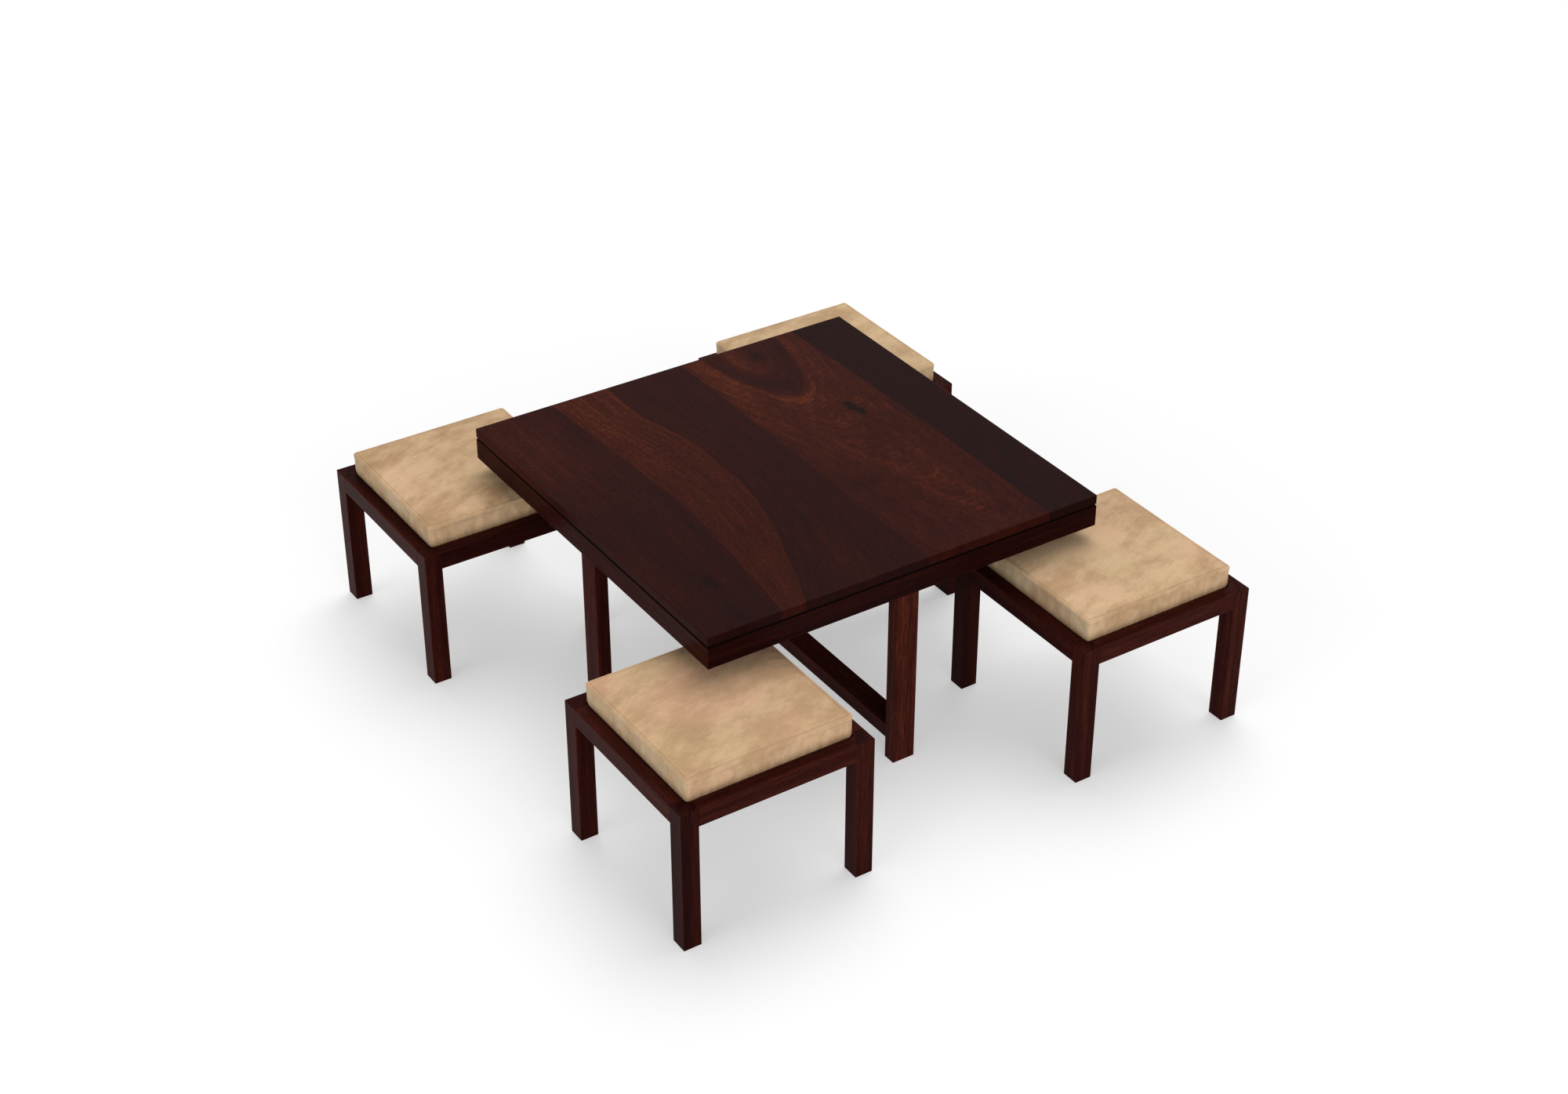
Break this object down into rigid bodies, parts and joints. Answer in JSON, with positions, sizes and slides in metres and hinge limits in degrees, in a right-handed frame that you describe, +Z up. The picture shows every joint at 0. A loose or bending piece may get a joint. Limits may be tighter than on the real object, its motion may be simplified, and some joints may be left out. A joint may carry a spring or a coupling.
{
  "type": "coffee table with stools",
  "caption": "Low square hardwood coffee table on mid-side legs and crossed stretchers, with square cushioned stools that tuck under its corners.",
  "frame": {"origin": "on the floor under the middle of the table", "axes": "+Z up, +Y from the front to the back along the table top's planks, +X from left to right; the front left stool is nearest the camera in the picture"},
  "size_m": [1.2908, 1.3772, 0.4574],
  "materials": {
    "top_wood": "satin lacquered dark reddish brown, glued planks of unlike figure",
    "frame_wood": "satin lacquered dark reddish brown",
    "plywood": "bare birch plywood",
    "suede": "mottled beige faux suede with stitched seams",
    "steel": "zinc plated"
  },
  "bodies": {
    "table": {"table_top": "top_wood", "table_apron_front": "frame_wood", "table_apron_right": "frame_wood", "table_apron_back": "frame_wood", "table_apron_left": "frame_wood", "table_leg_front": "frame_wood", "table_leg_right": "frame_wood", "table_leg_back": "frame_wood", "table_leg_left": "frame_wood", "table_stretcher_front_back": "frame_wood", "table_stretcher_left_right": "frame_wood", "table_corner_block_front_left": "frame_wood", "table_corner_block_front_right": "frame_wood", "table_corner_block_back_right": "frame_wood", "table_corner_block_back_left": "frame_wood", "table_top_screw_front_left": "steel", "table_top_screw_front_right": "steel", "table_top_screw_back_right": "steel", "table_top_screw_back_left": "steel"},
    "stool_front_left": {"stool_front_left_leg_front_left": "frame_wood", "stool_front_left_leg_front_right": "frame_wood", "stool_front_left_leg_back_right": "frame_wood", "stool_front_left_leg_back_left": "frame_wood", "stool_front_left_rail_front": "frame_wood", "stool_front_left_rail_right": "frame_wood", "stool_front_left_rail_back": "frame_wood", "stool_front_left_rail_left": "frame_wood", "stool_front_left_seat_board": "plywood", "stool_front_left_cushion": "suede"},
    "stool_front_right": {"stool_front_right_leg_front_left": "frame_wood", "stool_front_right_leg_front_right": "frame_wood", "stool_front_right_leg_back_right": "frame_wood", "stool_front_right_leg_back_left": "frame_wood", "stool_front_right_rail_front": "frame_wood", "stool_front_right_rail_right": "frame_wood", "stool_front_right_rail_back": "frame_wood", "stool_front_right_rail_left": "frame_wood", "stool_front_right_seat_board": "plywood", "stool_front_right_cushion": "suede"},
    "stool_back_right": {"stool_back_right_leg_front_left": "frame_wood", "stool_back_right_leg_front_right": "frame_wood", "stool_back_right_leg_back_right": "frame_wood", "stool_back_right_leg_back_left": "frame_wood", "stool_back_right_rail_front": "frame_wood", "stool_back_right_rail_right": "frame_wood", "stool_back_right_rail_back": "frame_wood", "stool_back_right_rail_left": "frame_wood", "stool_back_right_seat_board": "plywood", "stool_back_right_cushion": "suede"},
    "stool_back_left": {"stool_back_left_leg_front_left": "frame_wood", "stool_back_left_leg_front_right": "frame_wood", "stool_back_left_leg_back_right": "frame_wood", "stool_back_left_leg_back_left": "frame_wood", "stool_back_left_rail_front": "frame_wood", "stool_back_left_rail_right": "frame_wood", "stool_back_left_rail_back": "frame_wood", "stool_back_left_rail_left": "frame_wood", "stool_back_left_seat_board": "plywood", "stool_back_left_cushion": "suede"}
  },
  "joints": [
    {"name": "stool_front_left_slide", "type": "slide", "parent": "table", "child": "stool_front_left", "axis": [0.652, 0.7582, 0], "range_m": [-0.35, 0.3228]},
    {"name": "stool_front_right_slide", "type": "slide", "parent": "table", "child": "stool_front_right", "axis": [-0.6287, 0.7777, 0], "range_m": [-0.35, 0.3148]},
    {"name": "stool_back_right_slide", "type": "slide", "parent": "table", "child": "stool_back_right", "axis": [-0.6207, -0.7841, 0], "range_m": [-0.35, 0.3188]},
    {"name": "stool_back_left_slide", "type": "slide", "parent": "table", "child": "stool_back_left", "axis": [0.6441, -0.7649, 0], "range_m": [-0.35, 0.3268]}
  ]
}
